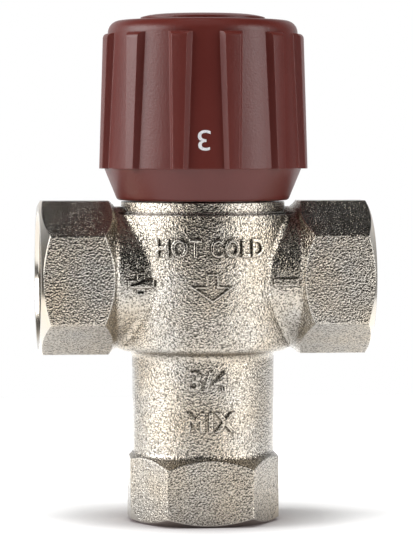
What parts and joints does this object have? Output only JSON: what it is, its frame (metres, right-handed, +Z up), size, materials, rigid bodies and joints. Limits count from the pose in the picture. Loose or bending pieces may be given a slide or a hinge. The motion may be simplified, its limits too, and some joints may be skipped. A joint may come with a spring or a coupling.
{
  "type": "mixing valve",
  "caption": "Forged tee body with hexagonal threaded ends and a ribbed dial knob that sets the temperature of blended hot and cold water.",
  "frame": {"origin": "centre of the outlet's end face", "axes": "+Z up along the outlet and the knob's axis, +X along the cold inlet, the marked front faces -Y"},
  "size_m": [0.0698, 0.0442, 0.1068],
  "materials": {
    "plated_brass": "nickel plated over a shot-blasted forging, grainy satin",
    "plain_brass": "turned",
    "copper": "drawn copper",
    "stainless": "bright",
    "seal_rubber": "moulded",
    "shuttle_plastic": "moulded",
    "dial_plastic": "satin moulded, dark red-brown",
    "cap_plastic": "satin moulded, dark red-brown"
  },
  "bodies": {
    "casing": {"body": "plated_brass", "bonnet": "plain_brass", "bonnet_seal": "seal_rubber", "return_spring": "stainless"},
    "dial": {"knob": "dial_plastic", "knob_cap": "cap_plastic", "knob_screw": "stainless", "knob_washer": "stainless", "spindle": "plain_brass", "spindle_seal_lower": "seal_rubber", "spindle_seal_upper": "seal_rubber", "spindle_clip": "stainless", "thrust_washer": "shuttle_plastic"},
    "nut": {"adjusting_nut": "plain_brass", "nut_ring": "stainless", "overload_spring": "stainless"},
    "overload": {"plunger": "plain_brass", "element_pin": "stainless"},
    "piston": {"shuttle": "shuttle_plastic", "shuttle_seal": "seal_rubber", "wax_element": "copper"}
  },
  "joints": [
    {"name": "knob_turn", "type": "hinge", "parent": "casing", "child": "dial", "pos_m": [0, 0, 0.08], "axis": [0, 0, 1], "range_deg": [-180, 90]},
    {"name": "nut_travel", "type": "slide", "parent": "casing", "child": "nut", "axis": [0, 0, 1], "range_m": [-0.0015, 0.00075]},
    {"name": "overload_give", "type": "slide", "parent": "nut", "child": "overload", "axis": [0, 0, 1], "range_m": [0, 0.0015], "stiffness_N_per_m": 4000, "deforming": ["overload_spring"]},
    {"name": "shuttle_slide", "type": "slide", "parent": "casing", "child": "piston", "axis": [0, 0, 1], "range_m": [-0.0024, 0], "stiffness_N_per_m": 3000, "springref_m": 0.0002, "deforming": ["return_spring"]}
  ],
  "couplings": [
    {"joint": "knob_turn", "follows": "nut_travel", "rad_per_m": 2094.4}
  ]
}
